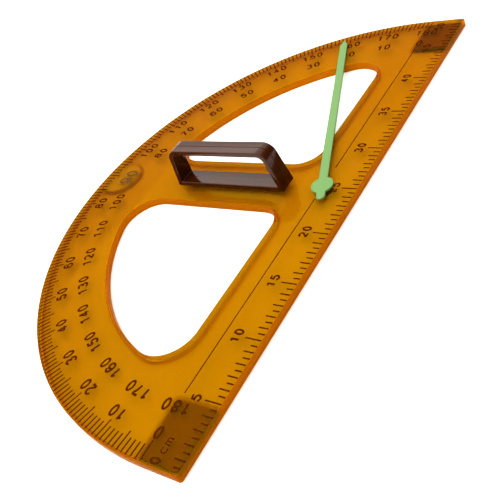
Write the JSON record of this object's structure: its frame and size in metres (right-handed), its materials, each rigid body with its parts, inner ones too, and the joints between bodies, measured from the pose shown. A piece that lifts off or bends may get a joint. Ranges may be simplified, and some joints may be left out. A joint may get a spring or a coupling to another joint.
{
  "type": "protractor",
  "caption": "Large see-through blackboard protractor with a ruler edge, carrying handle, turning pointer and magnets behind the plate.",
  "frame": {"origin": "middle of the outline's box, on the plane that the rim's underside rests on", "axes": "+X along the ruler from 0 to 50 cm, +Y from the ruler towards the degree arc, +Z out of the printed face"},
  "size_m": [0.5, 0.2812, 0.0449],
  "materials": {
    "plate": "glossy see-through amber",
    "handle": "glossy smoky brown",
    "pointer": "satin mint green",
    "pin": "moulded natural white",
    "screw": "zinc plated",
    "magnet": "dark grey ferrite",
    "pad": "black foam tape",
    "print": "dark brown ink"
  },
  "bodies": {
    "plate": {"protractor_plate": "plate", "handle": "handle", "handle_screw_near": "screw", "handle_screw_far": "screw", "magnet_left": "magnet", "magnet_right": "magnet", "magnet_top": "magnet", "magnet_pad_left": "pad", "magnet_pad_right": "pad", "magnet_pad_top": "pad"},
    "pointer": {"pointer": "pointer", "pivot_pin": "pin", "pivot_washer": "screw"}
  },
  "joints": [
    {"name": "pointer_turn", "type": "hinge", "parent": "plate", "child": "pointer", "pos_m": [0, -0.1094, 0.0068], "axis": [0, 0, 1], "range_deg": [-269, 46]}
  ]
}
